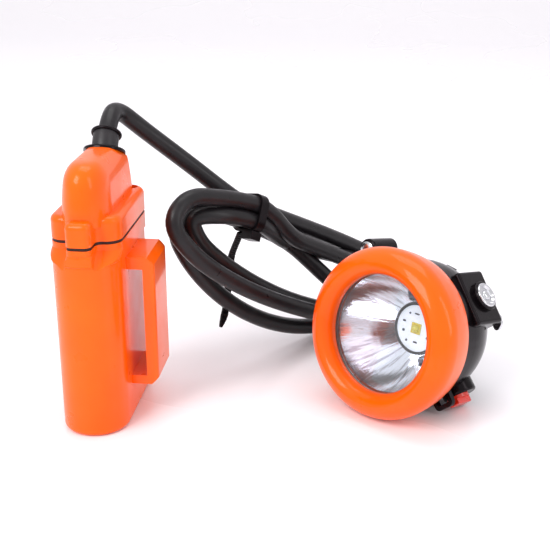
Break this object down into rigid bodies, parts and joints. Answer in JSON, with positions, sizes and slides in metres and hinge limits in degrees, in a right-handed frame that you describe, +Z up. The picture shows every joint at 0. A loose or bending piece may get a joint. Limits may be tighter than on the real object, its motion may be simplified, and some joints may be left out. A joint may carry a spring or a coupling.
{
  "type": "miner's cap lamp",
  "caption": "Corded miner's cap lamp: belt-worn battery pack with a cable gland, coiled rubber cable tied in a bundle, and a round LED headpiece with a rotary switch and helmet hook.",
  "frame": {"origin": "centre of the battery pack's base, on the surface the lamp lies on", "axes": "+Z up; +X out of the pack's belt-loop face; +Y along the pack from its round end to its square end"},
  "size_m": [0.2021, 0.172, 0.1379],
  "materials": {
    "orange_plastic": "gloss, moulded",
    "black_plastic": "gloss, moulded",
    "black_rubber": "satin",
    "bright_steel": "polished",
    "grey_nylon": "matt",
    "cell_sleeve": "gloss film",
    "nickel": "satin",
    "foam": "matt foam",
    "circuit_board": "semi-gloss resist",
    "wire_sleeve": "satin",
    "clear_window": "clear",
    "mirror_metal": "mirror",
    "white_board": "satin resist",
    "clear_silicone": "soft, milky",
    "black_ink": "printed line",
    "yellow_phosphor": "silicone dome",
    "clear_resin": "clear resin",
    "aluminium": "turned",
    "red_plastic": "gloss, moulded"
  },
  "bodies": {
    "lamp": {"battery_case": "orange_plastic", "belt_loop": "orange_plastic", "top_cover": "orange_plastic", "bezel": "orange_plastic", "head_housing": "black_plastic", "gland_washer": "black_plastic", "boot_ring": "black_plastic", "head_gland": "black_plastic", "stud_insulator": "black_plastic", "switch_body": "black_plastic", "cable_tie": "black_plastic", "case_gasket": "black_rubber", "cable_boot": "black_rubber", "cable_lead": "black_rubber", "cable_coil": "black_rubber", "cable_tail": "black_rubber", "head_boot": "black_rubber", "bezel_seal": "black_rubber", "switch_seal": "black_rubber", "lens_gasket": "clear_silicone", "cover_screws": "bright_steel", "bezel_lock_screw": "bright_steel", "charge_stud": "bright_steel", "side_contact": "bright_steel", "contact_nut": "bright_steel", "stud_nut": "bright_steel", "sink_screws": "bright_steel", "hook_screws": "bright_steel", "helmet_hook": "bright_steel", "gland_body": "grey_nylon", "gland_nut": "grey_nylon", "cell_spacers": "grey_nylon", "cell_1": "cell_sleeve", "cell_2": "cell_sleeve", "cell_3": "cell_sleeve", "nickel_straps": "nickel", "foam_pads": "foam", "protection_board": "circuit_board", "driver_board": "circuit_board", "battery_wires": "wire_sleeve", "head_wires": "wire_sleeve", "lens": "clear_window", "reflector": "mirror_metal", "led_board": "white_board", "led_ring": "black_ink", "main_led": "yellow_phosphor", "aux_leds": "clear_resin", "heat_sink": "aluminium"},
    "switch": {"switch_knob": "red_plastic", "switch_shaft": "bright_steel", "switch_rotor": "grey_nylon"}
  },
  "joints": [
    {"name": "switch_turn", "type": "hinge", "parent": "lamp", "child": "switch", "pos_m": [0.16608, 0.01306, 0.00629], "axis": [0.4462, -0.5471, -0.7082], "range_deg": [-45, 45]}
  ]
}
